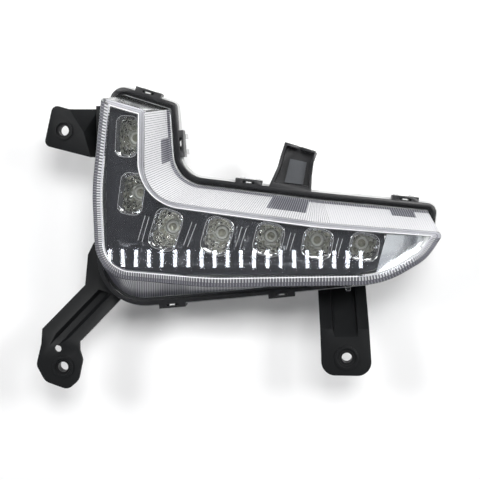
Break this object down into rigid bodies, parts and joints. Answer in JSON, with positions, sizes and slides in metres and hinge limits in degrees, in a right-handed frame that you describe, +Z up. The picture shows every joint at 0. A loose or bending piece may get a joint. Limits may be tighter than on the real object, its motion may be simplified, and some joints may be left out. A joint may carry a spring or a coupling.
{
  "type": "auxiliary driving light",
  "caption": "L-shaped LED daytime running lamp with a clear fluted lens, faceted reflectors in a black bezel, a black rim held by clips and moulded brackets with bolt holes.",
  "frame": {"origin": "centre of the lower left bolt hole at the front end of its bush, in the plane of the three bolt holes", "axes": "+X to the right along the long arm as seen from the front, +Z up along the short arm, -Y out through the lens face"},
  "size_m": [0.2573, 0.096, 0.1954],
  "materials": {
    "clear_polycarbonate": "clear, polished",
    "black_sealant": "dull",
    "black_polypropylene": "fine satin",
    "pale_grey_abs": "satin",
    "white_abs": "satin",
    "grey_foam": "closed-cell foam, dull",
    "gloss_black_abs": "high gloss",
    "silver_coat": "smooth satin silver",
    "mirror_coat": "vacuum metallised, faceted",
    "led_phosphor": "yellowish phosphor under clear gel",
    "white_solder_mask": "semi-gloss",
    "green_solder_mask": "semi-gloss",
    "grey_ferrite": "dull",
    "aluminium_can": "satin",
    "black_epoxy": "matt",
    "tinned_brass": "bright",
    "black_rubber": "matt",
    "zinc_steel": "zinc plated",
    "charcoal_polypropylene": "fine grained, matt",
    "bush_steel": "dark phosphated"
  },
  "bodies": {
    "root": {"outer_lens": "clear_polycarbonate", "lens_seal": "black_sealant", "retaining_frame": "black_polypropylene", "locator_pad": "grey_foam", "rear_housing": "pale_grey_abs", "inner_liner": "white_abs", "bezel": "gloss_black_abs", "end_reflector": "silver_coat", "led_board": "white_solder_mask", "driver_board": "green_solder_mask", "driver_inductor": "grey_ferrite", "driver_capacitor": "aluminium_can", "driver_chip": "black_epoxy", "board_link": "black_epoxy", "terminal_left": "tinned_brass", "terminal_right": "tinned_brass", "breather_cap": "black_rubber", "bezel_screws": "zinc_steel", "screw_washers": "black_rubber", "driver_screws": "zinc_steel", "bracket_screws": "zinc_steel", "upper_left_bracket": "charcoal_polypropylene", "lower_left_bracket": "charcoal_polypropylene", "lower_right_bracket": "charcoal_polypropylene", "upper_left_bush": "bush_steel", "lower_left_bush": "bush_steel", "lower_right_bush": "bush_steel", "reflector_1": "mirror_coat", "led_1": "led_phosphor", "reflector_2": "mirror_coat", "led_2": "led_phosphor", "reflector_3": "mirror_coat", "led_3": "led_phosphor", "reflector_4": "mirror_coat", "led_4": "led_phosphor", "reflector_5": "mirror_coat", "led_5": "led_phosphor", "reflector_6": "mirror_coat", "led_6": "led_phosphor", "reflector_7": "mirror_coat", "led_7": "led_phosphor"}
  },
  "joints": []
}
